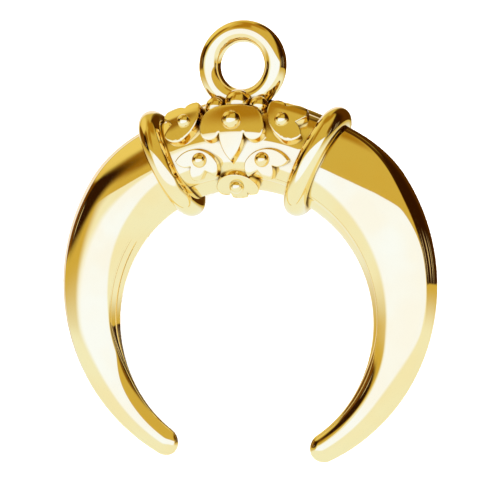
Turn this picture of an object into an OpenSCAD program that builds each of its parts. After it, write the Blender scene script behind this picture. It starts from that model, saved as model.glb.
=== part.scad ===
// Crescent moon charm: a one-piece casting with a hanging loop, two rings bound round
// the horns, six raised flowers and three beads on the collar between them.
// Millimetres. +X is to the right, +Y towards the hanging loop and +Z out of the front.
// The charm lies on its back, on its two rings and its two tips.

/* [Crescent] */
// Radius of the outer edge
outer_r = 8.5; // [8.2:0.1:8.8]
// Radius of the inner edge
inner_r = 5.75; // [5.6:0.05:5.9]
// Drop of the inner circle's centre below the outer circle's
centre_drop = 1.63; // [1.5:0.01:1.8]
// Half thickness of the horns at the crest, carried on to the middle of the collar
half_depth = 1.4; // [1.34:0.02:1.44]
// How much each half of the collar is thicker than that
collar_rise = 0.1; // [0.04:0.02:0.14]
// How much lower the outer edge runs on the collar than beside it
collar_pinch = 0.45; // [0.3:0.05:0.5]
// Angle from the top to each tip
tip_angle = 154.6; // [150:0.2:156]

/* [Edge bevels] */
// Width of the bevel along the outer edge, in plan
outer_bevel = 0.44; // [0.36:0.02:0.52]
// Width of the bevel along the inner edge, in plan
inner_bevel = 0.47; // [0.39:0.02:0.55]
// Height of the inner bevel on the collar, where the dome rises from it
bevel_height = 0.74; // [0.66:0.02:0.82]

/* [Binding rings] */
// Angle from the top to each ring
ring_angle = 28.5; // [27:0.5:30]
// Outside width of a ring across the horn
ring_width = 5.1; // [5:0.05:5.2]
// Outside depth of a ring from front to back
ring_depth = 3.84; // [3.76:0.04:3.96]
// Wire diameter of a ring
ring_wire = 1; // [0.94:0.02:1.04]

/* [Hanging loop] */
// Diameter of the hole
loop_hole = 2; // [1.8:0.1:2.1]
// Wire diameter of the loop
loop_wire = 0.97; // [0.9:0.01:1]
// Height of the hole's centre above the outer circle's centre
loop_y = 9.44; // [9.4:0.02:9.6]
// Distance of the loop in front of the crescent's middle plane
loop_z = 0.23; // [0:0.01:0.3]

/* [Flowers and beads] */
// Height of the flowers' faces over the middle plane, at the crest of the collar
face_height = 1.88; // [1.8:0.02:1.96]
// Width of the large flower
large_flower_w = 2.76; // [2.5:0.02:2.9]
// Width of a small flower
flower_w = 1.9; // [1.7:0.05:2]
// Diameter of the boss on a small flower
boss_d = 0.64; // [0.5:0.02:0.7]
// Diameter of the boss on the large flower
large_boss_d = 0.86; // [0.7:0.02:0.9]
// Diameter of the middle bead below the loop
middle_bead_d = 1.14; // [1:0.02:1.2]
// Diameter of the two beads beside it
side_bead_d = 0.84; // [0.7:0.02:0.9]

/* [Hidden] */
$fn = 96;

// The crescent is swept through sections on rays from the point midway between
// the centres of its two circles.
half_drop = centre_drop / 2;
// The outer edge leaves the collar at pinch_start and is on its circle at pinch_end.
pinch_start = 20;
pinch_end = 52;
// Past slim_start the horns draw in from both circles, by tip_slim at the tips.
slim_start = 105;
tip_slim = 0.06;
// Angle over which each tip is rounded off, and the shares of it at which it has sections
tip_round = 5;
tip_shares = [0.35, 0.65, 0.85, 0.96];
// The thickness follows the width, as it would be without the collar's pinch, to this power.
taper_power = 1.15;
// The crest of the dome lies this share of the half width nearer the inner edge.
crest_shift = 0.17;
// Powers that shape the dome over its whole reach and at its foot: on the horns, and on the
// fuller collar. Between collar_start and collar_end, under the rings, one turns into the other.
dome_powers = [1.55, 0.72];
collar_powers = [2.2, 0.55];
collar_start = 24;
collar_end = 32;
// A bevel starts upright at the edge and leans in by this power of its height.
bevel_power = 1.4;
// The bevels' size follows the width to the same power, and from fade_start to fade_end they
// lose fade_share of it as well.
fade_start = 98;
fade_end = 126;
fade_share = 0.9;
// From neck_end towards the collar the outer bevel loses neck_share too, by neck_start.
neck_start = 34;
neck_end = 60;
neck_share = 0.65;
// Shares of its height at which a bevel has points, steps along the dome, and the angle
// between the sections of the crescent
bevel_shares = [0, 0.15, 0.5];
dome_steps = 12;
body_step = 5.5;
// The flowers' faces lie on a rounded surface over the collar. It reaches past the outer and
// the inner edge by face_spread, and is a superellipse of face_powers on those two sides.
face_rise = 1.06;
face_spread = [0.08, 0.02];
face_powers = [2.2, 2.5];
face_steps = 10;
face_step = 4;
face_end = 32;

function smooth(a, b, x) = let (t = min(1, max(0, (x - a) / (b - a)))) t * t * (3 - 2 * t);
function slim(a) = tip_slim * smooth(slim_start, tip_angle, abs(a));
function pinch(a) = collar_pinch * (1 - smooth(pinch_start, pinch_end, abs(a)));
function outer_reach(a) = half_drop * cos(a) + sqrt(pow(outer_r, 2) - pow(half_drop * sin(a), 2))
    - pinch(a) - slim(a);
function inner_reach(a) = sqrt(pow(inner_r, 2) - pow(half_drop * sin(a), 2)) - half_drop * cos(a) + slim(a);
function half_width(a) = (outer_reach(a) - inner_reach(a)) / 2;
function mid_reach(a) = (outer_reach(a) + inner_reach(a)) / 2;
function depth_at(a) = half_depth
    * pow((half_width(a) + pinch(a) / 2) / (half_width(0) + pinch(0) / 2), taper_power);
// Height of the bevels and the flowers' faces at angle a, as a share of that in the middle
function share_at(a) = pow(half_width(a) / half_width(0), taper_power);

// Height of the dome at the share x of its reach from its crest, as a share of its rise
function dome_share(x, powers) = pow(1 - pow(x, powers[0]), powers[1]);

// Front half of the section at angle a, scaled, from the outer edge to the inner one, as
// [offset, height]
function front_half(a, scale) = let (
        w = half_width(a) * scale,
        collar = 1 - smooth(collar_start, collar_end, abs(a)),
        d = (depth_at(a) + collar_rise * collar) * scale,
        powers = dome_powers + (collar_powers - dome_powers) * collar,
        k = share_at(a) * (1 - fade_share * smooth(fade_start, fade_end, abs(a))) * scale,
        outer_k = k * (1 - neck_share * (1 - smooth(neck_start, neck_end, abs(a)))),
        outer_b = outer_bevel * outer_k,
        inner_b = inner_bevel * k,
        crest = -crest_shift * w
    ) concat(
        [for (t = bevel_shares) [w - outer_b * pow(t, bevel_power), bevel_height * outer_k * t]],
        [for (i = [0 : dome_steps]) let (
                x = cos(180 * i / dome_steps),
                reach = x > 0 ? w - outer_b - crest : w - inner_b + crest,
                base = bevel_height * (x > 0 ? outer_k : k)
            ) [crest + reach * x, base + (d - base) * dome_share(abs(x), powers)]],
        [for (i = [len(bevel_shares) - 1 : -1 : 0]) let (t = bevel_shares[i])
            [inner_b * pow(t, bevel_power) - w, bevel_height * k * t]]
    );
function whole(f) = concat(f, [for (i = [len(f) - 2 : -1 : 1]) [f[i][0], -f[i][1]]]);
// Section under the flowers' faces at angle a, down to the middle plane
function face_section(a) = let (
        w = half_width(a),
        crest = -crest_shift * w
    ) concat(
        [for (i = [0 : face_steps]) let (
                q = 180 * i / face_steps,
                side = q <= 90 ? 0 : 1,
                power = face_powers[side],
                reach = w + face_spread[side] + (side == 0 ? -crest : crest)
            ) [
                crest + sign(90 - q) * reach * pow(abs(cos(q)), 2 / power),
                share_at(a) * (face_height - face_rise + face_rise * pow(sin(q), 2 / power))
            ]],
        [[-w - face_spread[1], 0], [w + face_spread[0], 0]]
    );
// A section set on the ray at angle a
function on_ray(a, section) = [for (p = section) let (r = mid_reach(a) + p[0])
        [r * sin(a), r * cos(a) - half_drop, p[1]]];
function section_at(a, scale) = on_ray(a, whole(front_half(a, scale)));

// Closed skin through equal rings of points, with a flat end at each end of a run
// or joined round on itself
module skin(rings, round = false) {
    n = len(rings[0]);
    m = len(rings);
    last = round ? m - 1 : m - 2;
    polyhedron(
        points = [for (ring = rings) each ring],
        faces = concat(
            [for (j = [0 : last], i = [0 : n - 1]) let (k = (j + 1) % m, h = (i + 1) % n)
                each [[j * n + i, k * n + i, k * n + h], [j * n + i, k * n + h, j * n + h]]],
            round ? [] : [[for (i = [0 : n - 1]) i], [for (i = [n - 1 : -1 : 0]) (m - 1) * n + i]]
        )
    );
}

// Stations of the body as [angle, scale]: evenly spaced, then shrinking round each tip
function body_stations() = let (
        start = tip_angle - tip_round,
        count = ceil(start / body_step),
        tip = [for (s = tip_shares) [start + tip_round * s, sqrt(1 - s * s)]]
    ) concat(
        [for (i = [len(tip) - 1 : -1 : 0]) [-tip[i][0], tip[i][1]]],
        [for (i = [-count : count]) [start * i / count, 1]],
        tip
    );

module crescent() {
    skin([for (s = body_stations()) section_at(s[0], s[1])]);
}

// Place something on the horn's ray at angle a, at offset u from its middle and height z
module on_horn(a, u, z) {
    translate([0, -half_drop, 0]) rotate([0, 0, -a]) translate([0, mid_reach(a) + u, z]) children();
}

// A ring is a round wire on an ellipse, set across the horn, with its inner end turned away
// from the charm's middle by ring_turn.
ring_turn = 2;
ring_across = (ring_width - ring_wire) / 2;
ring_deep = (ring_depth - ring_wire) / 2;
ring_steps = 48;
wire_steps = 14;
module binding_ring(side) {
    on_horn(side * ring_angle, 0, 0) rotate([0, 0, side * ring_turn])
        skin([for (j = [0 : ring_steps - 1]) let (
                q = 360 * j / ring_steps,
                out = [cos(q) / ring_across, sin(q) / ring_deep],
                n = out / norm(out)
            ) [for (i = [0 : wire_steps - 1]) let (f = 360 * i / wire_steps, r = ring_wire / 2) [
                -r * sin(f),
                ring_across * cos(q) + r * cos(f) * n[0],
                ring_deep * sin(q) + r * cos(f) * n[1]
            ]]
        ], true);
}

loop_r = (loop_hole + loop_wire) / 2;
module hanging_loop() {
    translate([0, loop_y, loop_z]) rotate_extrude() translate([loop_r, 0]) circle(d = loop_wire);
}

// Beads under the loop as [across, up, out, diameter]
beads = [
    [0, 7.8, 0.85, middle_bead_d],
    [-1.01, 7.64, 0.9, side_bead_d],
    [0.95, 7.64, 0.9, side_bead_d]
];
module bead_row() {
    for (b = beads) translate([b[0], b[1], b[2]]) sphere(d = b[3]);
}

// Flower outlines about the boss, drawn drawn_w wide for a small flower and large_drawn_w
// for the large one. Each corner is [across, up, bulge], anticlockwise, and the bulge is
// the height of the arc from it to the next corner.
drawn_w = 1.9;
large_drawn_w = 2.76;
large_flower = [
    [1.38, 0, 0.1], [0.85, 0.6, 0.13], [-0.85, 0.6, 0.1], [-1.38, 0, 0.04], [-1.38, -0.6, 0.27],
    [-0.55, -0.57, 0.12], [0, -1.68, 0.12], [0.55, -0.57, 0.27], [1.38, -0.6, 0.04]
];
upper_flower = [
    [-0.07, 0.68, 0.34], [-0.78, 0.45, 0.2], [0.05, -0.7, 0.24], [1.02, -0.4, 0.05],
    [0.61, 0.05, 0], [0.93, 0.45, 0.03], [0.8, 0.88, 0.14]
];
lower_flower = [
    [1.1, 0.2, 0.54], [-0.72, -0.25, 0.08], [-0.5, -0.85, 0], [-0.12, -0.5, 0],
    [0.2, -0.8, 0.06], [0.55, -0.72, 0.06], [0.48, -0.17, 0.14]
];
edge_flower = [
    [0.93, -0.05, 0.71], [-0.93, -0.05, 0.04], [-0.84, -0.46, 0.04], [-0.44, -0.54, 0], [-0.38, -0.4, 0],
    [-0.34, -0.68, 0.05], [0.34, -0.68, 0], [0.38, -0.4, 0], [0.44, -0.54, 0.04], [0.84, -0.46, 0.04]
];

// Flowers as [angle, offset, height, tilt of the face, mirrored, outline, scale, boss diameter].
// A tilt above 0 turns the face towards the hanging loop.
large_scale = large_flower_w / large_drawn_w;
small_scale = flower_w / drawn_w;
flowers = [
    [0, 0.92, 1.72, 18, false, large_flower, large_scale, large_boss_d],
    [15.6, 1.2, 1.58, 25, false, upper_flower, small_scale, boss_d],
    [-15.6, 1.2, 1.58, 25, true, upper_flower, small_scale, boss_d],
    [12.8, -0.62, 1.85, -6, false, lower_flower, small_scale, boss_d],
    [-12.8, -0.62, 1.85, -6, true, lower_flower, small_scale, boss_d]
];
// The flower on the inner edge has a flat face, given by its offset, height and tilt.
edge_offset = -1.87;
edge_height = 0.99;
edge_tilt = -45;
// Longest chord along an arc
arc_chord = 0.2;
// Points of the arc from p to q that bulges outwards by s, without its end
function arc(p, q, s) = s == 0 ? [p] : let (
        chord = norm(q - p),
        along = (q - p) / chord,
        out = [along[1], -along[0]],
        half = 2 * atan(2 * s / chord),
        r = chord / 2 / sin(half),
        steps = ceil(r * half * PI / 90 / arc_chord)
    ) [for (i = [0 : steps - 1]) let (t = half * (2 * i / steps - 1))
        (p + q) / 2 + along * r * sin(t) + out * (r * cos(t) - r + s)];
function outline(corners) = [for (i = [0 : len(corners) - 1]) let (
        c = corners[i],
        d = corners[(i + 1) % len(corners)]
    ) each arc([c[0], c[1]], [d[0], d[1]], c[2])];

// The frame of a flower: its origin in the middle of the boss, +Z out of its face
module at_flower(f) {
    on_horn(f[0], f[1], f[2]) rotate([-f[3], 0, 0]) mirror([f[4] ? 1 : 0, 0, 0]) children();
}
// How far the prism that cuts out a flower reaches up and down from the boss, and how deep
// the flower on the inner edge goes
cut_up = 0.52;
cut_down = 1.28;
edge_cut = 1.15;
module flowers_in_relief() {
    intersection() {
        skin([for (i = [-face_end / face_step : face_end / face_step]) let (a = i * face_step)
            on_ray(a, face_section(a))]);
        for (f = flowers) at_flower(f) translate([0, 0, -cut_down])
            linear_extrude(cut_up + cut_down) scale(f[6]) polygon(outline(f[5]));
    }
    for (f = flowers) at_flower(f) sphere(d = f[7]);
}
module edge_flower_in_relief() {
    on_horn(0, edge_offset, edge_height) rotate([-edge_tilt, 0, 0]) {
        translate([0, 0, -edge_cut]) linear_extrude(edge_cut) scale(small_scale)
            polygon(outline(edge_flower));
        sphere(d = boss_d);
    }
}

// Lying on its back, the charm touches the floor with the backs of both rings and of
// both tips, which tilts it about X.
ring_y = mid_reach(ring_angle) * cos(ring_angle) - half_drop;
tip_start = tip_angle - tip_round;
tip_y = (mid_reach(tip_start) - crest_shift * half_width(tip_start)) * cos(tip_start) - half_drop;
tip_depth = depth_at(tip_start);
rest_run = ring_y - tip_y;
rest_rise = ring_deep - tip_depth;
rest_tilt = atan(rest_rise / rest_run) + asin(ring_wire / 2 / norm([rest_run, rest_rise]));
body_points = [for (s = body_stations()) each section_at(s[0], s[1])];
ring_reach = norm([ring_across * cos(ring_angle - ring_turn) * sin(rest_tilt), ring_deep * cos(rest_tilt)]);
ring_low = ring_y * sin(rest_tilt) - ring_reach - ring_wire / 2;
low = min(ring_low, min([for (p = body_points) p[1] * sin(rest_tilt) + p[2] * cos(rest_tilt)]));
back_end = min([for (p = body_points) p[1] * cos(rest_tilt) - p[2] * sin(rest_tilt)]);
front_end = (loop_y + loop_r) * cos(rest_tilt) - loop_z * sin(rest_tilt) + loop_wire / 2;
module lying() {
    translate([0, -(back_end + front_end) / 2, -low]) rotate([rest_tilt, 0, 0]) children();
}

module crescent_charm() {
    color("gold") lying() union() {
        crescent();
        binding_ring(1);
        binding_ring(-1);
        hanging_loop();
        bead_row();
        flowers_in_relief();
        edge_flower_in_relief();
    }
}

crescent_charm();
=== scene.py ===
# Crescent moon charm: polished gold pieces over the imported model, camera, floor and light.
# Shapes are worked out in millimetres in the charm's own frame, in which +X is to the right,
# +Y towards the hanging loop and +Z out of the front, and then laid down on the floor.
# Angles are in degrees. The place along a horn is its angle from the middle of the collar,
# seen from midway between the centres of the crescent's two circles, positive on the right.
import math

import bpy
import numpy as np
from mathutils import Matrix, Vector
from mathutils.geometry import delaunay_2d_cdt


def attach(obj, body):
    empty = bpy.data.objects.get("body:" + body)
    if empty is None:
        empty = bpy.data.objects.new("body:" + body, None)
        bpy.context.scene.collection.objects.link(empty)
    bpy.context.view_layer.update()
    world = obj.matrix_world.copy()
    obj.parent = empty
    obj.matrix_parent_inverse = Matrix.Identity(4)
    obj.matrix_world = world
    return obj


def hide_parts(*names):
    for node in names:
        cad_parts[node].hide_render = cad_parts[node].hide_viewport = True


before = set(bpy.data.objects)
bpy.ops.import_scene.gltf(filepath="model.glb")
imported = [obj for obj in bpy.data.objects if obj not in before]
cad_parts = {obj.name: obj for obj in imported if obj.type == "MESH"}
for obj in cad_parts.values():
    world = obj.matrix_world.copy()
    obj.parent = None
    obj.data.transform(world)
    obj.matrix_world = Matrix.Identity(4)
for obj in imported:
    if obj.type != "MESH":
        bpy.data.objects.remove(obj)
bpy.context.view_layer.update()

MM = 0.001

# Sizes of the crescent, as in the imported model
# Radii of the two edges, and the drop of the inner circle's centre below the outer circle's
OUTER_R, INNER_R, CENTRE_DROP = 8.5, 5.75, 1.63
HALF_DROP = CENTRE_DROP / 2
# On the collar the outer edge runs COLLAR_PINCH inside its circle. It leaves the collar at
# PINCH_START and is back on the circle at PINCH_END.
COLLAR_PINCH, PINCH_START, PINCH_END = 0.45, 20, 52
# Each tip is rounded off over the last TIP_ROUND of its angle. Past SLIM_START the horns draw
# in from both circles, by TIP_SLIM at the tips.
TIP_ANGLE, TIP_ROUND = 154.6, 5
SLIM_START, TIP_SLIM = 105, 0.06
# Half thickness in the middle, and the power of the width that it follows along the horns
HALF_DEPTH, TAPER_POWER = 1.4, 1.15
# The crest of the dome lies this share of the half width nearer the inner edge.
CREST_SHIFT = 0.17
# Powers of the dome over its whole reach and at its foot: on the horns, and on the fuller
# collar, which is thicker by COLLAR_RISE. One turns into the other under the rings.
DOME_POWER, DOME_FOOT = 1.55, 0.72
COLLAR_POWER, COLLAR_FOOT, COLLAR_RISE = 2.2, 0.55, 0.1
COLLAR_START, COLLAR_END = 24, 32
# Widths of the two bevels in plan and their height. A bevel starts upright at the edge and
# leans in by a power of its height.
OUTER_BEVEL, INNER_BEVEL, BEVEL_HEIGHT, BEVEL_POWER = 0.44, 0.47, 0.74, 1.4
# The bevels lose FADE_SHARE of their size towards the tips, and the outer one loses
# NECK_SHARE towards the collar.
FADE_START, FADE_END, FADE_SHARE = 98, 126, 0.9
NECK_START, NECK_END, NECK_SHARE = 34, 60, 0.65

# Sizes of the rings and the loop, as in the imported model
# A ring's outside is RING_WIDTH across the horn and RING_DEPTH from front to back. It is
# turned by RING_TURN out of the horn's ray.
RING_WIDTH, RING_DEPTH, RING_WIRE = 5.1, 3.84, 1.0
RING_ANGLE, RING_TURN = 28.5, 2
RING_ACROSS, RING_DEEP = (RING_WIDTH - RING_WIRE) / 2, (RING_DEPTH - RING_WIRE) / 2
# The loop's centre is LOOP_Y above the outer circle's centre and LOOP_Z in front of it.
LOOP_HOLE, LOOP_WIRE, LOOP_Y, LOOP_Z = 2, 0.97, 9.44, 0.23
LOOP_R = (LOOP_HOLE + LOOP_WIRE) / 2

# Sizes of the flowers and the beads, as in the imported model
# The flowers' faces lie on a rounded surface over the collar, FACE_BASE high at its edges and
# higher by FACE_RISE at its crest. The pairs are for its outer and its inner side: how far it
# reaches past the crescent's edge, and the power of its curve.
FACE_BASE, FACE_RISE = 0.82, 1.06
FACE_SPREAD, FACE_POWERS = (0.08, 0.02), (2.2, 2.5)
# Reach of a flower from its own plane: outwards, inwards to the foot of its walls, and that
# foot of the flat flower on the inner edge
CUT_UP, CUT_DOWN, EDGE_CUT = 0.52, 1.28, 1.15
# Diameters of the bosses and the beads
BOSS_D, LARGE_BOSS_D = 0.64, 0.86
MIDDLE_BEAD_D, SIDE_BEAD_D = 1.14, 0.84

# Fineness of the meshes
BEVEL_STEPS, DOME_STEPS = 12, 56
BODY_STEP, TIP_STEPS = 0.9, 14
RING_STEPS, RING_WIRE_STEPS = 160, 40
LOOP_STEPS, LOOP_WIRE_STEPS = 180, 48
BALL_STEPS = 48
SMOOTH_LIMIT = 34


def sin(a):
    return np.sin(np.radians(a))


def cos(a):
    return np.cos(np.radians(a))


def turn_x(angle):
    return np.array([[1, 0, 0], [0, cos(angle), -sin(angle)], [0, sin(angle), cos(angle)]])


def turn_y(angle):
    return np.array([[cos(angle), 0, sin(angle)], [0, 1, 0], [-sin(angle), 0, cos(angle)]])


def turn_z(angle):
    return np.array([[cos(angle), -sin(angle), 0], [sin(angle), cos(angle), 0], [0, 0, 1]])


def smooth(a, b, x):
    """0 up to a and 1 from b on, smooth between."""
    t = np.clip((x - a) / (b - a), 0, 1)
    return t * t * (3 - 2 * t)


# The crescent
def slim(a):
    return TIP_SLIM * smooth(SLIM_START, TIP_ANGLE, abs(a))


def pinch(a):
    return COLLAR_PINCH * (1 - smooth(PINCH_START, PINCH_END, abs(a)))


def outer_reach(a):
    return HALF_DROP * cos(a) + np.sqrt(OUTER_R**2 - (HALF_DROP * sin(a)) ** 2) - pinch(a) - slim(a)


def inner_reach(a):
    return np.sqrt(INNER_R**2 - (HALF_DROP * sin(a)) ** 2) - HALF_DROP * cos(a) + slim(a)


def half_width(a):
    return (outer_reach(a) - inner_reach(a)) / 2


def mid_reach(a):
    return (outer_reach(a) + inner_reach(a)) / 2


def depth_at(a):
    """Half thickness of the horn at angle a, which the pinch of the outer edge leaves alone."""
    return HALF_DEPTH * ((half_width(a) + pinch(a) / 2) / (half_width(0) + pinch(0) / 2)) ** TAPER_POWER


def share_at(a):
    """Height of the bevels and the flowers' faces at angle a, as a share of that in the middle."""
    return (half_width(a) / half_width(0)) ** TAPER_POWER


def front_half(a, scale):
    """Front half of the section at angle a as offset and height, outer edge first."""
    collar = 1 - smooth(COLLAR_START, COLLAR_END, abs(a))
    half = scale * half_width(a)
    depth = scale * (depth_at(a) + COLLAR_RISE * collar)
    crest = -CREST_SHIFT * half
    power = DOME_POWER + (COLLAR_POWER - DOME_POWER) * collar
    foot = DOME_FOOT + (COLLAR_FOOT - DOME_FOOT) * collar
    inner_size = scale * share_at(a) * (1 - FADE_SHARE * smooth(FADE_START, FADE_END, abs(a)))
    outer_size = inner_size * (1 - NECK_SHARE * (1 - smooth(NECK_START, NECK_END, abs(a))))
    outer_lean, inner_lean = OUTER_BEVEL * outer_size, INNER_BEVEL * inner_size
    outer_top, inner_top = BEVEL_HEIGHT * outer_size, BEVEL_HEIGHT * inner_size
    climb = (np.arange(BEVEL_STEPS) / BEVEL_STEPS) ** 2
    outer = np.stack([half - outer_lean * climb**BEVEL_POWER, outer_top * climb], 1)
    inner = np.stack([inner_lean * climb**BEVEL_POWER - half, inner_top * climb], 1)[::-1]
    turn = 180 * np.arange(DOME_STEPS + 1) / DOME_STEPS
    on_outer = turn <= 90
    reach = np.where(on_outer, half - outer_lean - crest, half - inner_lean + crest)
    base = np.where(on_outer, outer_top, inner_top)
    rise = (1 - np.abs(cos(turn)) ** power) ** foot
    dome = np.stack([crest + reach * cos(turn), base + (depth - base) * rise], 1)
    return np.vstack([outer, dome, inner])


def section(a, scale):
    """The whole section at angle a, whose back mirrors its front, as points of the charm's frame."""
    front = front_half(a, scale)
    back = front[-2:0:-1] * [1, -1]
    ring = np.vstack([front, back])
    r = mid_reach(a) + ring[:, 0]
    return np.stack([r * sin(a), r * cos(a) - HALF_DROP, ring[:, 1]], 1)


def body_stations():
    """Angle and scale of every section, from the left tip to the right one."""
    start = TIP_ANGLE - TIP_ROUND
    count = math.ceil(start / BODY_STEP)
    turn = 90 * np.arange(1, TIP_STEPS) / TIP_STEPS
    tip = [(start + TIP_ROUND * sin(t), cos(t)) for t in turn]
    body = [(start * i / count, 1) for i in range(-count, count + 1)]
    return [(-a, s) for a, s in tip[::-1]] + body + tip


def swept(rings, closed):
    """Points and faces of a skin through equal rings, capped with fans unless closed on itself."""
    size, count = len(rings[0]), len(rings)
    sides = [(i, (i + 1) % size) for i in range(size)]
    points = [p for ring in rings for p in ring]
    faces = []
    for j in range(count if closed else count - 1):
        here, there = j * size, (j + 1) % count * size
        faces += [(here + i, here + k, there + k, there + i) for i, k in sides]
    if not closed:
        for j in (0, count - 1):
            hub, here = len(points), j * size
            points.append(np.mean(rings[j], axis=0))
            for i, k in sides:
                faces.append((hub, here + k, here + i) if j == 0 else (hub, here + i, here + k))
    return np.array(points), faces


crescent_points, crescent_faces = swept([section(a, s) for a, s in body_stations()], False)

# Laying it down
RING_Y = mid_reach(RING_ANGLE) * cos(RING_ANGLE) - HALF_DROP


def rest_tilt():
    """Tilt about X that brings the backs of both rings and of both tips level."""
    tip = TIP_ANGLE - TIP_ROUND
    tip_y = (mid_reach(tip) - CREST_SHIFT * half_width(tip)) * cos(tip) - HALF_DROP
    run, rise = RING_Y - tip_y, RING_DEEP - depth_at(tip)
    return math.degrees(math.atan(rise / run) + math.asin(RING_WIRE / 2 / math.hypot(run, rise)))


REST_TILT = rest_tilt()


def laid_shift():
    """Move that centres the tilted charm along Y and sets its lowest point on the floor."""
    laid = crescent_points @ turn_x(REST_TILT).T
    loop_end = (LOOP_Y + LOOP_R) * cos(REST_TILT) - LOOP_Z * sin(REST_TILT) + LOOP_WIRE / 2
    across = RING_ACROSS * cos(RING_ANGLE - RING_TURN) * sin(REST_TILT)
    ring_reach = math.hypot(across, RING_DEEP * cos(REST_TILT))
    ring_low = RING_Y * sin(REST_TILT) - ring_reach - RING_WIRE / 2
    return np.array([0, -(laid[:, 1].min() + loop_end) / 2, -min(ring_low, laid[:, 2].min())])


LAID_SHIFT = laid_shift()


def lie(points):
    """From the charm's own frame in millimetres to the row frame in metres."""
    return (np.asarray(points) @ turn_x(REST_TILT).T + LAID_SHIFT) * MM


# Making pieces
def add_piece(name, points, faces, material):
    mesh = bpy.data.meshes.new(name)
    mesh.from_pydata([tuple(p) for p in lie(points)], [], [tuple(f) for f in faces])
    mesh.validate()
    mesh.shade_smooth()
    mesh.set_sharp_from_angle(angle=math.radians(SMOOTH_LIMIT))
    mesh.materials.append(material)
    obj = bpy.data.objects.new(name, mesh)
    bpy.context.scene.collection.objects.link(obj)
    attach(obj, "root")
    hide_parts("crescent_charm")


def on_horn(a, u, z):
    """Turn and origin of a frame on the horn's ray at angle a, u out from its middle and z in front."""
    r = mid_reach(a) + u
    return turn_z(-a), np.array([r * sin(a), r * cos(a) - HALF_DROP, z])


def wire_ring(across, up, turn, centre, wire, steps, wire_steps):
    """Round wire on an ellipse in the YZ plane of the frame that turn and centre give."""
    rings = []
    round_wire = 2 * np.pi * np.arange(wire_steps) / wire_steps
    side, reach = -wire / 2 * np.sin(round_wire), wire / 2 * np.cos(round_wire)
    for round_ring in 2 * np.pi * np.arange(steps) / steps:
        c, s = math.cos(round_ring), math.sin(round_ring)
        out = np.array([c / across, s / up])
        out /= np.linalg.norm(out)
        ring = np.stack([side, across * c + reach * out[0], up * s + reach * out[1]], 1)
        rings.append(ring @ turn.T + centre)
    return swept(rings, True)


def ball(turn, centre, d):
    """A ball as rings round the Z axis of its frame, with a point at each pole."""
    rings = []
    east = 360 * np.arange(BALL_STEPS) / BALL_STEPS
    for north in np.linspace(-90, 90, BALL_STEPS // 2 + 1)[1:-1]:
        level = np.full(BALL_STEPS, sin(north))
        ring = d / 2 * np.stack([cos(north) * cos(east), cos(north) * sin(east), level], 1)
        rings.append(ring @ turn.T + centre)
    points, faces = swept(rings, False)
    points[-2] = centre - turn[:, 2] * d / 2
    points[-1] = centre + turn[:, 2] * d / 2
    return points, faces


# Shapes of the flowers
# Radius of the rounded edge, and the shares of it at which it has points. A point may miss
# its distance from the outline by ROUND_SLACK of the radius.
EDGE_ROUND = 0.05
ROUND_SHARES = (0.04, 0.17, 0.4, 0.7, 1.0)
ROUND_SLACK = 0.001
# Spacing of points along the outline and over the face. Points that agree to this many
# decimals are one, and the mesh of the face joins those nearer than MERGE_WITHIN.
OUTLINE_STEP, FILL_STEP = 0.03, 0.055
SAME_DECIMALS, MERGE_WITHIN = 4, 0.000001
# Halvings of the span in which a point of the face is looked for
FACE_HALVINGS = 40

# Corners as x, y and the height of the arc to the next corner, anticlockwise
LARGE_FLOWER = [
    (1.38, 0, 0.1), (0.85, 0.6, 0.13), (-0.85, 0.6, 0.1), (-1.38, 0, 0.04), (-1.38, -0.6, 0.27),
    (-0.55, -0.57, 0.12), (0, -1.68, 0.12), (0.55, -0.57, 0.27), (1.38, -0.6, 0.04)]
UPPER_FLOWER = [
    (-0.07, 0.68, 0.34), (-0.78, 0.45, 0.2), (0.05, -0.7, 0.24), (1.02, -0.4, 0.05),
    (0.61, 0.05, 0), (0.93, 0.45, 0.03), (0.8, 0.88, 0.14)]
LOWER_FLOWER = [
    (1.1, 0.2, 0.54), (-0.72, -0.25, 0.08), (-0.5, -0.85, 0), (-0.12, -0.5, 0),
    (0.2, -0.8, 0.06), (0.55, -0.72, 0.06), (0.48, -0.17, 0.14)]
EDGE_FLOWER = [
    (0.93, -0.05, 0.71), (-0.93, -0.05, 0.04), (-0.84, -0.46, 0.04), (-0.44, -0.54, 0), (-0.38, -0.4, 0),
    (-0.34, -0.68, 0.05), (0.34, -0.68, 0), (0.38, -0.4, 0), (0.44, -0.54, 0.04), (0.84, -0.46, 0.04)]


def outline(corners):
    """Points along the closed outline through the corners."""
    parts = []
    for (x0, y0, bulge), (x1, y1, _) in zip(corners, corners[1:] + corners[:1]):
        p, q = np.array([x0, y0]), np.array([x1, y1])
        chord = np.linalg.norm(q - p)
        along = (q - p) / chord
        out = np.array([along[1], -along[0]])
        if bulge:
            half = 2 * math.atan(2 * bulge / chord)
            r = chord / 2 / math.sin(half)
            t = np.linspace(-half, half, math.ceil(2 * half * r / OUTLINE_STEP) + 1)[:-1, None]
            parts.append((p + q) / 2 + along * r * np.sin(t) + out * (r * np.cos(t) - r + bulge))
        else:
            t = np.linspace(0, 1, math.ceil(chord / OUTLINE_STEP) + 1)[:-1, None]
            parts.append(p + (q - p) * t)
    return np.vstack(parts)


def inside_depth(points, edge):
    """Distance of each point to the closed outline, below 0 outside it."""
    a, b = edge, np.roll(edge, -1, axis=0)
    d = b - a
    rel = points[:, None] - a[None]
    t = np.clip((rel * d).sum(2) / (d * d).sum(1), 0, 1)
    far = np.linalg.norm(rel - t[..., None] * d, axis=2).min(1)
    y = points[:, None, 1]
    crosses = (a[:, 1] > y) != (b[:, 1] > y)
    at = a[:, 0] + (y - a[:, 1]) * d[:, 0] / np.where(d[:, 1] == 0, 1, d[:, 1])
    inside = (crosses & (points[:, None, 0] < at)).sum(1) % 2 == 1
    return np.where(inside, far, -far)


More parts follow.
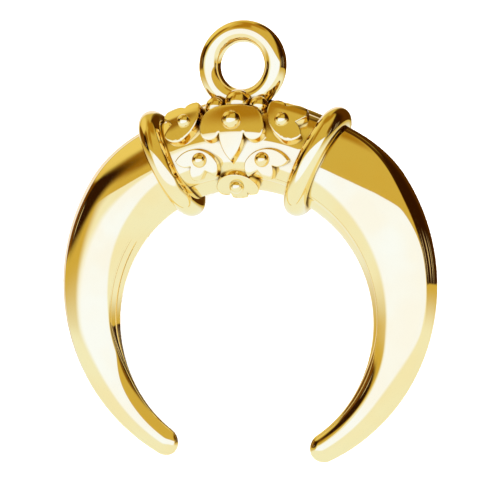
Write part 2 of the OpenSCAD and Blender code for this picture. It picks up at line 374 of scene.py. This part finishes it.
def face_points(edge):
    """Points inside the outline: rings for the rounded edge, and a grid over the rest."""
    d = np.roll(edge, -1, axis=0) - edge
    n = np.stack([-d[:, 1], d[:, 0]], 1) / np.linalg.norm(d, axis=1)[:, None]
    before = np.roll(n, 1, axis=0)
    mitre = (n + before) / (1 + (n * before).sum(1))[:, None]
    picked = []
    for share in ROUND_SHARES:
        step = EDGE_ROUND * share
        tries = np.vstack([edge + n * step, edge + before * step, edge + mitre * step])
        picked.append(tries[inside_depth(tries, edge) > step - ROUND_SLACK * EDGE_ROUND])
    lo, hi = edge.min(0), edge.max(0)
    xs, ys = (np.arange(lo[i] + FILL_STEP / 2, hi[i], FILL_STEP) for i in (0, 1))
    grid = np.stack(np.meshgrid(xs, ys), -1).reshape(-1, 2)
    picked.append(grid[inside_depth(grid, edge) > EDGE_ROUND + FILL_STEP / 2])
    found = np.vstack(picked)
    return found[np.unique(np.round(found, SAME_DECIMALS), axis=0, return_index=True)[1]]


def face_height(x, y):
    """Height over the charm's middle plane of the surface on which the flowers' faces lie."""
    a = np.degrees(np.arctan2(x, y + HALF_DROP))
    w = half_width(a)
    k = share_at(a)
    u = np.hypot(x, y + HALF_DROP) - mid_reach(a) + CREST_SHIFT * w
    outer = u >= 0
    power = np.where(outer, *FACE_POWERS)
    reach = w + np.where(outer, *FACE_SPREAD) + np.where(outer, 1, -1) * CREST_SHIFT * w
    share = np.clip(np.abs(u) / reach, 0, 1)
    return FACE_BASE * k + FACE_RISE * k * (1 - share**power) ** (1 / power)


def on_face(flat, turn, origin):
    """How far out of the flower's own plane its face lies at each point."""
    low, high = np.full(len(flat), -CUT_DOWN), np.full(len(flat), CUT_UP)
    for _ in range(FACE_HALVINGS):
        t = (low + high) / 2
        p = np.column_stack([flat, t]) @ turn.T + origin
        above = p[:, 2] > face_height(p[:, 0], p[:, 1])
        low, high = np.where(above, low, t), np.where(above, t, high)
    return (low + high) / 2


def flower(corners, turn, origin, curved):
    """A raised plate, flat or curved like the collar, with rounded edges and walls down to its foot."""
    edge = outline(corners)
    flat = np.vstack([edge, face_points(edge)])
    n = len(edge)
    loop = [(i, (i + 1) % n) for i in range(n)]
    _, _, tris, origs, _, _ = delaunay_2d_cdt([Vector(p) for p in flat], loop, [], 1, MERGE_WITHIN)
    index = [o[0] for o in origs]
    depth = np.clip(inside_depth(flat, edge), 0, EDGE_ROUND)
    depth[:n] = 0
    drop = EDGE_ROUND - np.sqrt(EDGE_ROUND**2 - (EDGE_ROUND - depth) ** 2)
    height = on_face(flat, turn, origin) if curved else np.zeros(len(flat))
    top = np.column_stack([flat, height - drop])
    foot = np.column_stack([edge, np.full(n, -CUT_DOWN if curved else -EDGE_CUT)])
    m = len(top)
    faces = [tuple(index[i] for i in tri) for tri in tris]
    faces += [(i, m + i, m + (i + 1) % n, (i + 1) % n) for i in range(n)]
    faces.append(tuple(m + i for i in range(n - 1, -1, -1)))
    if np.linalg.det(turn) < 0:
        faces = [f[::-1] for f in faces]
    return np.vstack([top, foot]) @ turn.T + origin, faces


# Shader node helpers
def calc(tree, operation, *values):
    node = tree.nodes.new("ShaderNodeMath")
    node.operation = operation
    for socket, value in zip(node.inputs, values):
        if isinstance(value, (int, float)):
            socket.default_value = value
        else:
            tree.links.new(value, socket)
    return node.outputs[0]


def fade(tree, value, start, end):
    """0 at start and 1 at end, smooth between."""
    node = tree.nodes.new("ShaderNodeMapRange")
    node.interpolation_type = "SMOOTHSTEP"
    node.inputs["From Min"].default_value = start
    node.inputs["From Max"].default_value = end
    tree.links.new(value, node.inputs["Value"])
    return node.outputs["Result"]


def mix(tree, share, a, b):
    """Colour a at share 0 and colour b at share 1."""
    node = tree.nodes.new("ShaderNodeMix")
    node.data_type = "RGBA"
    for name, value in (("Factor", share), ("A", a), ("B", b)):
        socket = next(i for i in node.inputs if i.name == name and i.enabled)
        if isinstance(value, bpy.types.NodeSocket):
            tree.links.new(value, socket)
        else:
            socket.default_value = (*value, 1)
    return next(o for o in node.outputs if o.enabled)


def noise(tree, place, size, detail, stretch=(1, 1, 1)):
    """Soft noise from 0 to 1 with blots of this size in millimetres, longer where stretch is above 1."""
    spread = tree.nodes.new("ShaderNodeMapping")
    spread.inputs["Scale"].default_value = [1 / (size * MM * s) for s in stretch]
    tree.links.new(place, spread.inputs["Vector"])
    node = tree.nodes.new("ShaderNodeTexNoise")
    node.inputs["Scale"].default_value = 1
    node.inputs["Detail"].default_value = detail
    tree.links.new(spread.outputs["Vector"], node.inputs["Vector"])
    return node.outputs["Fac"]


# Gold
# The third colour is painted shade, mixed into the gold in the crevices and where parts meet.
GOLD_PLATE, WARM_PLATE, CREVICE_SHADE = (0.96, 0.78, 0.35), (0.97, 0.75, 0.31), (0.3, 0.17, 0.03)
# Size of the warmer blots in millimetres, their detail, and the noise at which they set in and
# are full
WARM_SIZE, WARM_DETAIL, WARM_FROM, WARM_TO = 2.6, 2.0, 0.35, 0.65
# Painted shade darkens the gold where another surface is nearer than CREVICE millimetres, in the
# crevices and where parts meet. It sets in where this share of the surroundings is open, and is
# full at the smaller share.
CREVICE, CREVICE_RAYS = 0.28, 16
SHADE_FROM, SHADE_FULL = 0.75, 0.3
# Size of the rubbed spots, the scratches and the polishing waves in millimetres, and detail
RUBBED_SIZE, RUBBED_DETAIL = 0.9, 4.0
SCRATCH_SIZE, SCRATCH_DETAIL, SCRATCH_STRETCH = 0.05, 2.0, (14, 1, 1)
WAVE_SIZE, WAVE_DETAIL, WAVE_HEIGHT = 1.3, 1.0, 0.0015
# Roughness of the polish, and the most that each of these adds to it
POLISH, RUBBED_ADDS, SCRATCHES_ADD, CREVICE_ADDS = 0.004, 0.035, 0.03, 0.05


def plate_roughness(tree, place, crevice):
    rubbed = calc(tree, "MULTIPLY", noise(tree, place, RUBBED_SIZE, RUBBED_DETAIL), RUBBED_ADDS)
    scratches = noise(tree, place, SCRATCH_SIZE, SCRATCH_DETAIL, SCRATCH_STRETCH)
    scratched = calc(tree, "ADD", calc(tree, "MULTIPLY", scratches, SCRATCHES_ADD), POLISH)
    crevice_rough = calc(tree, "MULTIPLY", crevice, CREVICE_ADDS)
    return calc(tree, "ADD", calc(tree, "ADD", rubbed, scratched), crevice_rough)


def polishing_waves(tree, place):
    waves = noise(tree, place, WAVE_SIZE, WAVE_DETAIL)
    bump = tree.nodes.new("ShaderNodeBump")
    bump.inputs["Distance"].default_value = 1.0
    tree.links.new(calc(tree, "MULTIPLY", waves, WAVE_HEIGHT * MM), bump.inputs["Height"])
    return bump.outputs["Normal"]


def gold_material():
    """Mirror-polished gold plate: faint waves and scratches, and painted shade darkening the crevices
    and the places where parts meet.
    """
    mat = bpy.data.materials.new("polished_gold")
    mat.use_nodes = True
    tree = mat.node_tree
    shader = tree.nodes["Principled BSDF"]
    shader.inputs["Metallic"].default_value = 1.0
    place = tree.nodes.new("ShaderNodeTexCoord").outputs["Object"]
    cover = tree.nodes.new("ShaderNodeAmbientOcclusion")
    cover.samples = CREVICE_RAYS
    cover.inputs["Distance"].default_value = CREVICE * MM
    crevice = fade(tree, cover.outputs["AO"], SHADE_FROM, SHADE_FULL)
    warmth = fade(tree, noise(tree, place, WARM_SIZE, WARM_DETAIL), WARM_FROM, WARM_TO)
    plate = mix(tree, warmth, GOLD_PLATE, WARM_PLATE)
    # Painted shade: the gold turns dark brown where other surfaces are near.
    tree.links.new(mix(tree, crevice, plate, CREVICE_SHADE), shader.inputs["Base Color"])
    tree.links.new(plate_roughness(tree, place, crevice), shader.inputs["Roughness"])
    tree.links.new(polishing_waves(tree, place), shader.inputs["Normal"])
    return mat


gold = gold_material()

# Crescent, rings and loop
add_piece("crescent", crescent_points, crescent_faces, gold)


def binding_ring(word, side):
    turn, origin = on_horn(side * RING_ANGLE, 0, 0)
    turn = turn @ turn_z(side * RING_TURN)
    points, faces = wire_ring(
        RING_ACROSS, RING_DEEP, turn, origin, RING_WIRE, RING_STEPS, RING_WIRE_STEPS)
    add_piece(f"binding_ring_{word}", points, faces, gold)


def hanging_loop():
    """A ring in the crescent's own plane."""
    turn = turn_y(-90)
    centre = np.array([0, LOOP_Y, LOOP_Z])
    points, faces = wire_ring(LOOP_R, LOOP_R, turn, centre, LOOP_WIRE, LOOP_STEPS, LOOP_WIRE_STEPS)
    add_piece("hanging_loop", points, faces, gold)


binding_ring("left", -1)
binding_ring("right", 1)
hanging_loop()

# Beads, with the place of each centre in the charm's own frame
BEADS = (
    ("middle", (0, 7.8, 0.85), MIDDLE_BEAD_D),
    ("left", (-1.01, 7.64, 0.9), SIDE_BEAD_D),
    ("right", (0.95, 7.64, 0.9), SIDE_BEAD_D),
)
for word, centre, d in BEADS:
    add_piece(f"bead_{word}", *ball(np.eye(3), np.array(centre), d), gold)

# Flowers, each with its boss
# The place is an angle along the horn, an offset out from its middle and a height. The tilt
# turns the face outwards. A left one mirrors the outline of the right one.
FLOWERS = (
    ("large", (0, 0.92, 1.72), 18, False, LARGE_FLOWER, True, LARGE_BOSS_D),
    ("upper_right", (15.6, 1.2, 1.58), 25, False, UPPER_FLOWER, True, BOSS_D),
    ("upper_left", (-15.6, 1.2, 1.58), 25, True, UPPER_FLOWER, True, BOSS_D),
    ("lower_right", (12.8, -0.62, 1.85), -6, False, LOWER_FLOWER, True, BOSS_D),
    ("lower_left", (-12.8, -0.62, 1.85), -6, True, LOWER_FLOWER, True, BOSS_D),
    ("edge", (0, -1.87, 0.99), -45, False, EDGE_FLOWER, False, BOSS_D),
)


def flower_and_boss(word, place, tilt, mirrored, corners, curved, boss_d):
    turn, origin = on_horn(*place)
    turn = turn @ turn_x(-tilt)
    flip = np.diag([-1 if mirrored else 1, 1, 1])
    add_piece(f"flower_{word}", *flower(corners, turn @ flip, origin, curved), gold)
    add_piece(f"boss_{word}", *ball(turn, origin, boss_d), gold)


for row in FLOWERS:
    flower_and_boss(*row)

# Camera
# Found by fitting the outline in the photograph; the place is in the charm's own frame.
CAMERA_AT = (22.2333, 2.2046, 68.3573)
CAMERA_YAW, CAMERA_PITCH, CAMERA_ROLL = 17.8, -0.57, -0.17
# Focal length and the photograph's width, both in pixels
FOCAL_PIXELS, PHOTO_PIXELS = 1661.6, 500
SENSOR = 36
CLIP_NEAR, CLIP_FAR = 0.001, 10   # metres


def camera_place():
    """The camera's matrix in the row frame."""
    in_charm = turn_z(CAMERA_ROLL) @ turn_x(-CAMERA_PITCH) @ turn_y(-CAMERA_YAW)
    axes = turn_x(REST_TILT) @ in_charm.T
    place = Matrix(axes.tolist()).to_4x4()
    place.translation = Vector(lie([CAMERA_AT])[0])
    return place


camera = bpy.data.cameras.new("camera")
camera.sensor_width = SENSOR
camera.lens = SENSOR * (FOCAL_PIXELS / PHOTO_PIXELS)
camera.clip_start, camera.clip_end = CLIP_NEAR, CLIP_FAR
camera_obj = bpy.data.objects.new("camera", camera)
bpy.context.scene.collection.objects.link(camera_obj)
camera_obj.matrix_world = camera_place()
bpy.context.scene.camera = camera_obj

# Floor
FLOOR_HALF = 0.6   # metres
FLOOR_WHITE, FLOOR_ROUGHNESS = (0.9, 0.9, 0.9), 0.7


def white_floor():
    mesh = bpy.data.meshes.new("floor")
    corners = [(x * FLOOR_HALF, y * FLOOR_HALF, 0) for x, y in ((-1, -1), (1, -1), (1, 1), (-1, 1))]
    mesh.from_pydata(corners, [], [(0, 1, 2, 3)])
    white = bpy.data.materials.new("floor_white")
    white.use_nodes = True
    shader = white.node_tree.nodes["Principled BSDF"]
    shader.inputs["Base Color"].default_value = (*FLOOR_WHITE, 1)
    shader.inputs["Roughness"].default_value = FLOOR_ROUGHNESS
    mesh.materials.append(white)
    floor = bpy.data.objects.new("floor", mesh)
    bpy.context.scene.collection.objects.link(floor)
    return floor


floor = white_floor()
floor.visible_glossy = False

# Light
# The polish mirrors one soft surround, which goes all round the charm because the floor isn't
# mirrored. Everything else is lit by plain white. A direction in the surround is read in the
# charm's own frame, as an azimuth from its front to the right and a height towards its loop.
PLAIN_LIGHT = 3.6
CREAM, GOLD, BROWN = (0.93, 1.05, 1.34), (0.65, 0.505, 0.13), (0.42, 0.23, 0.016)
PALE, WHITE = (1.0, 0.98, 1.15), (1.0, 1.24, 2.5)
# The lower surround is cream. It turns gold with height, and away from this azimuth.
GLOW_AZIMUTH, GLOW_HEIGHTS, GLOW_ASIDE = 6, (-20, -1), (50, 58)
# The upper surround begins on a plane that climbs by this slope towards the front and is
# level behind, softened by this much to each side.
UPPER_SLOPE, UPPER_SOFT = 0.306, 0.008
# The zones on the right set in just below level, between these Y parts of the direction.
RIGHT_FADE = (-0.026, -0.01)
# Zones as centre, reach, softness, colour, power and lean, each over the ones before it
FRONT = [((6.5, -2.5), (53.5, 27), 0.1, WHITE, 2, 0.2)]
ABOVE = [
    ((-92, 46), (34, 18), 0.4, (0.86, 0.74, 0.30), 2, 0),
    ((-22, 58), (15, 30), 0.3, BROWN, 2, 0),
    ((20, 84), (150, 18), 0.3, BROWN, 2, 0),
    ((-52, 34), (13, 13), 0.4, (0.30, 0.15, 0.01), 2, 0),
]
RIGHT = [
    ((108, 28), (44, 20), 0.3, (0.26, 0.12, 0.004), 3, 0),
    ((72, 24), (14, 12), 0.3, (0.2, 0.09, 0.003), 2, 0),
    ((119, 16), (47, 52), 0.12, (0.03, 0.008, 0.0), 6, 0.35),
    ((152, 30), (30, 44), 0.5, (0.09, 0.03, 0.001), 3, 0),
]
# A pale zone at the back, two dark zones on the left, and thin streaks on both sides
STREAK, DIM_STREAK = (0.8, 0.72, 0.65), (0.6, 0.52, 0.45)
SIDES = [
    ((-155, 18), (32, 34), 0.2, PALE, 2, 0),
    ((-84, 14), (31, 12), 0.15, (0.17, 0.065, 0.003), 3, 0.05),
    ((-64, 17), (11.5, 14), 0.3, (0.025, 0.006, 0.0), 3, 0.1),
    ((-94, 8), (0.8, 5), 0.4, (0.3, 0.2, 0.08), 2, 0),
    ((-70, 9.5), (1.0, 4), 0.4, (0.8, 0.75, 0.7), 2, 0),
    ((78.5, 8), (1.3, 9), 0.4, STREAK, 2, 0),
    ((97.5, 9), (0.9, 9), 0.4, STREAK, 2, 0),
    ((104.6, 8), (0.7, 9), 0.4, STREAK, 2, 0),
    ((110, 8), (0.7, 8), 0.4, DIM_STREAK, 2, 0),
]


def sight_line(tree):
    """X, Y and Z of the direction looked in, in the charm's own frame."""
    coordinate = tree.nodes.new("ShaderNodeTexCoord")
    turned = tree.nodes.new("ShaderNodeVectorRotate")
    turned.rotation_type = "X_AXIS"
    turned.inputs["Angle"].default_value = -math.radians(REST_TILT)
    tree.links.new(coordinate.outputs["Generated"], turned.inputs["Vector"])
    split = tree.nodes.new("ShaderNodeSeparateXYZ")
    tree.links.new(turned.outputs["Vector"], split.inputs[0])
    return [split.outputs[i] for i in range(3)]


def patch(tree, azimuth, height, centre, reach, soft, power, lean):
    """1 inside a rounded zone of the surround, 0 outside it: an oval at power 2, squarer above.
    Degrees; soft is a share of its reach, and lean its slope towards the right."""
    aside = calc(tree, "SUBTRACT", azimuth, centre[0])
    slant = calc(tree, "MULTIPLY", aside, lean)
    above = calc(tree, "SUBTRACT", calc(tree, "SUBTRACT", height, centre[1]), slant)
    parts = [calc(tree, "POWER", calc(tree, "ABSOLUTE", calc(tree, "DIVIDE", off, r)), power)
             for off, r in zip((aside, above), reach)]
    return fade(tree, calc(tree, "POWER", calc(tree, "ADD", *parts), 1 / power), 1 + soft, 1 - soft)


def lay(tree, azimuth, height, light, zones):
    """The light with these zones laid over it."""
    for centre, reach, soft, colour, power, lean in zones:
        light = mix(tree, patch(tree, azimuth, height, centre, reach, soft, power, lean), light, colour)
    return light


def surround(tree):
    """Colour of the surround in each direction."""
    x, y, z = sight_line(tree)
    azimuth = calc(tree, "DEGREES", calc(tree, "ARCTAN2", x, z))
    height = calc(tree, "DEGREES", calc(tree, "ARCSINE", y))
    aside = calc(tree, "ABSOLUTE", calc(tree, "SUBTRACT", azimuth, GLOW_AZIMUTH))
    glow = calc(tree, "MULTIPLY", fade(tree, height, *GLOW_HEIGHTS), fade(tree, aside, *GLOW_ASIDE))
    lower = lay(tree, azimuth, height, mix(tree, glow, CREAM, GOLD), FRONT)
    upper = lay(tree, azimuth, height, GOLD, ABOVE)
    climb = calc(tree, "MULTIPLY", calc(tree, "MAXIMUM", z, 0.0), UPPER_SLOPE)
    over_plane = fade(tree, calc(tree, "SUBTRACT", y, climb), -UPPER_SOFT, UPPER_SOFT)
    light = mix(tree, over_plane, lower, upper)
    with_right = lay(tree, azimuth, height, light, RIGHT)
    light = mix(tree, fade(tree, y, *RIGHT_FADE), light, with_right)
    return lay(tree, azimuth, height, light, SIDES)


def studio():
    """World that shows the surround to mirror reflections and plain white to all else."""
    world = bpy.data.worlds.new("studio")
    world.use_nodes = True
    tree = world.node_tree
    mirrored = tree.nodes["Background"]
    tree.links.new(surround(tree), mirrored.inputs["Color"])
    plain = tree.nodes.new("ShaderNodeBackground")
    plain.inputs["Color"].default_value = (PLAIN_LIGHT, PLAIN_LIGHT, PLAIN_LIGHT, 1)
    seen = tree.nodes.new("ShaderNodeLightPath")
    both = tree.nodes.new("ShaderNodeMixShader")
    tree.links.new(seen.outputs["Is Glossy Ray"], both.inputs[0])
    tree.links.new(plain.outputs[0], both.inputs[1])
    tree.links.new(mirrored.outputs[0], both.inputs[2])
    tree.links.new(both.outputs[0], tree.nodes["World Output"].inputs["Surface"])
    return world


bpy.context.scene.world = studio()
bpy.context.scene.view_settings.view_transform = "Standard"
